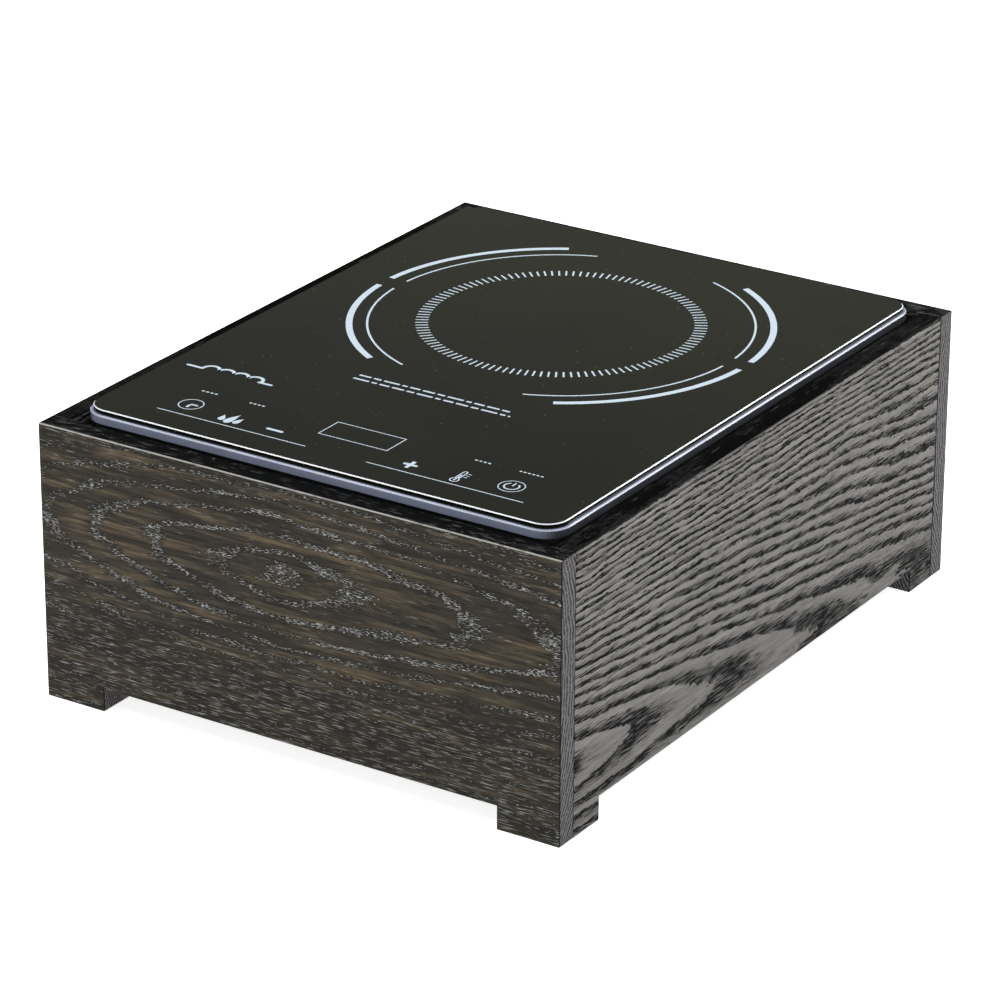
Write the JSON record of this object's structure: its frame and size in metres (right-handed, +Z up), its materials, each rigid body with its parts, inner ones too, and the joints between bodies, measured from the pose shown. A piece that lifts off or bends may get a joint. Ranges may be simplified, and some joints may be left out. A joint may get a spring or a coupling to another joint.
{
  "type": "induction hob",
  "caption": "Portable induction hob with a bevelled black glass top, dropped into an open dark oak surround that stands on square corner feet.",
  "frame": {"origin": "middle of the footprint, on the surface it stands on", "axes": "+Z up, -Y towards the user at the control side, +X to the user's right"},
  "size_m": [0.3174, 0.4, 0.162],
  "materials": {
    "oak_board": "dark stained open-grain oak, matt",
    "inner_oak": "stained oak, matt",
    "steel_screw": "zinc plated",
    "black_glass": "black ceramic glass, polished, bevelled",
    "silicone": "matt silicone",
    "frame_plastic": "blue-grey moulded plastic, satin",
    "case_plastic": "black moulded plastic, fine texture",
    "foot_rubber": "matt rubber",
    "mica": "pressed mica sheet",
    "copper_wire": "varnished copper wire",
    "heat_plastic": "heat resistant plastic",
    "ferrite": "sintered ferrite, matt",
    "sheet_aluminium": "sheet aluminium, satin",
    "red_wire": "silicone wire",
    "circuit_board": "solder mask, glossy",
    "black_component": "moulded epoxy",
    "film_component": "cast film capacitor",
    "yellow_component": "taped winding",
    "green_component": "moulded terminal block",
    "display_plastic": "dark red display",
    "led_plastic": "tinted epoxy",
    "flat_cable": "flat cable",
    "bronze": "sintered bronze",
    "shaft_steel": "ground steel",
    "fan_plastic": "black fan plastic"
  },
  "bodies": {
    "surround": {"front_board": "oak_board", "back_board": "oak_board", "left_board": "oak_board", "right_board": "oak_board", "post_front_left": "inner_oak", "post_front_right": "inner_oak", "post_back_left": "inner_oak", "post_back_right": "inner_oak", "left_rail": "inner_oak", "right_rail": "inner_oak", "post_screws": "steel_screw", "rail_screws": "steel_screw"},
    "hob": {"glass_top": "black_glass", "glass_seal": "silicone", "top_frame": "frame_plastic", "bottom_case": "case_plastic", "hob_feet": "foot_rubber", "case_screws": "steel_screw", "mica_sheet": "mica", "litz_coil": "copper_wire", "coil_former": "heat_plastic", "ferrite_bars": "ferrite", "shield_plate": "sheet_aluminium", "coil_pillars": "heat_plastic", "coil_screws": "steel_screw", "sensor_holder": "heat_plastic", "temperature_sensor": "black_component", "coil_leads": "red_wire", "power_board": "circuit_board", "board_screws": "steel_screw", "heatsink": "sheet_aluminium", "power_transistors": "black_component", "bridge_rectifier": "black_component", "resonant_capacitor": "film_component", "filter_capacitor": "film_component", "filter_choke": "copper_wire", "transformer": "yellow_component", "fuse": "heat_plastic", "terminal_block": "green_component", "buzzer": "black_component", "control_carrier": "heat_plastic", "control_board": "circuit_board", "touch_springs": "steel_screw", "led_display": "display_plastic", "indicator_leds": "led_plastic", "ribbon_cable": "flat_cable", "fan_frame": "fan_plastic", "fan_stator": "copper_wire", "fan_bearing": "bronze", "fan_screws": "steel_screw", "fan_lead": "red_wire", "air_baffle": "heat_plastic", "cord_gland": "silicone", "cord_clamp": "heat_plastic"},
    "fan_rotor": {"fan_rotor": "fan_plastic", "rotor_shaft": "shaft_steel"}
  },
  "joints": [
    {"name": "hob_lift", "type": "slide", "parent": "surround", "child": "hob", "axis": [0, 0, 1], "range_m": [0, 0.06]},
    {"name": "fan_spin", "type": "hinge", "parent": "hob", "child": "fan_rotor", "pos_m": [-0.087, 0.118, 0.12], "axis": [0, 0, 1], "continuous": true}
  ]
}
